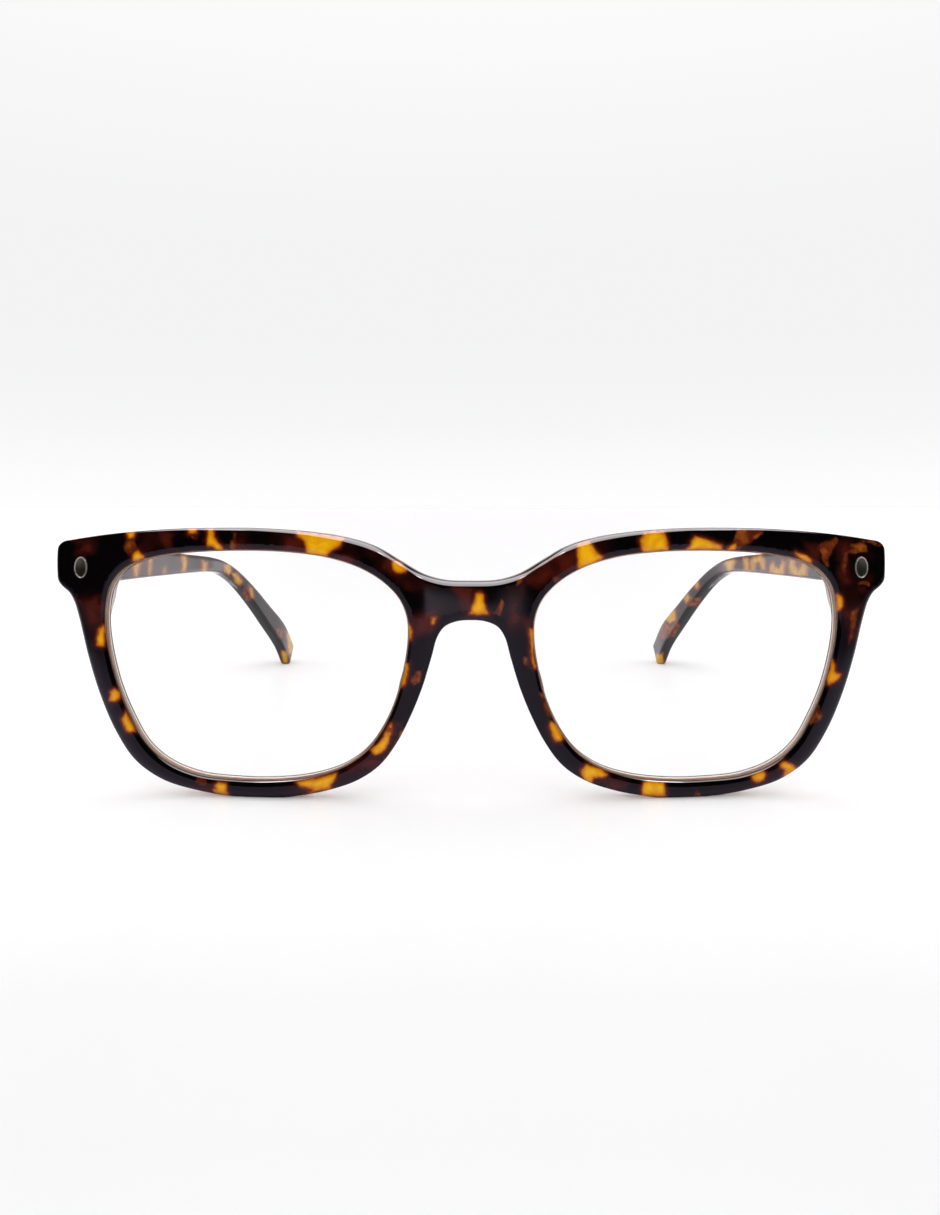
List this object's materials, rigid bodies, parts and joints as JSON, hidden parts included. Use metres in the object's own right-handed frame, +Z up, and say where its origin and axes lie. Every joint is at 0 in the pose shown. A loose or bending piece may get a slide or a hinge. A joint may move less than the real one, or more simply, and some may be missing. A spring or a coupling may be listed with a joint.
{
  "type": "reading glasses",
  "caption": "Square reading glasses with a tortoise acetate front, folding temples, spring hinges and clear lenses.",
  "frame": {"origin": "on the table that the open glasses stand on, midway between the wearer's two sides and midway in depth", "axes": "+X to the wearer's left, +Y from the front towards the temple tips, +Z up"},
  "size_m": [0.1458, 0.1404, 0.0463],
  "materials": {
    "tortoise_acetate": "polished",
    "temple_acetate": "polished",
    "clear_acetate": "polished",
    "lens_plastic": "polished, clear",
    "polished_steel": "polished",
    "nickel_silver": "satin, nickel plated",
    "screw_steel": "machined",
    "spring_steel": "drawn"
  },
  "bodies": {
    "front": {"frame_front": "tortoise_acetate", "lens_left": "lens_plastic", "lens_right": "lens_plastic", "nose_pad_left": "clear_acetate", "nose_pad_right": "clear_acetate", "plaque_left": "polished_steel", "plaque_right": "polished_steel", "front_leaf_left": "nickel_silver", "front_leaf_right": "nickel_silver", "hinge_screw_left": "screw_steel", "hinge_screw_right": "screw_steel"},
    "carriage_left": {"carriage_left": "nickel_silver", "stop_nut_left": "nickel_silver", "flex_spring_left": "spring_steel"},
    "carriage_right": {"carriage_right": "nickel_silver", "stop_nut_right": "nickel_silver", "flex_spring_right": "spring_steel"},
    "temple_left": {"temple_left": "temple_acetate", "core_wire_left": "spring_steel", "spring_box_left": "nickel_silver"},
    "temple_right": {"temple_right": "temple_acetate", "core_wire_right": "spring_steel", "spring_box_right": "nickel_silver"}
  },
  "joints": [
    {"name": "temple_left_fold", "type": "hinge", "parent": "front", "child": "carriage_left", "pos_m": [0.06895, -0.05779, 0.03969], "axis": [0, 0, 1], "range_deg": [-4, 86]},
    {"name": "temple_right_fold", "type": "hinge", "parent": "front", "child": "carriage_right", "pos_m": [-0.06895, -0.05779, 0.03969], "axis": [0, 0, -1], "range_deg": [-4, 79]},
    {"name": "temple_left_flex", "type": "slide", "parent": "carriage_left", "child": "temple_left", "axis": [0, 1, 0], "range_m": [0, 0.0012], "stiffness_N_per_m": 1000, "springref_m": -0.0005, "deforming": ["flex_spring_left"]},
    {"name": "temple_right_flex", "type": "slide", "parent": "carriage_right", "child": "temple_right", "axis": [0, 1, 0], "range_m": [0, 0.0012], "stiffness_N_per_m": 1000, "springref_m": -0.0005, "deforming": ["flex_spring_right"]}
  ]
}
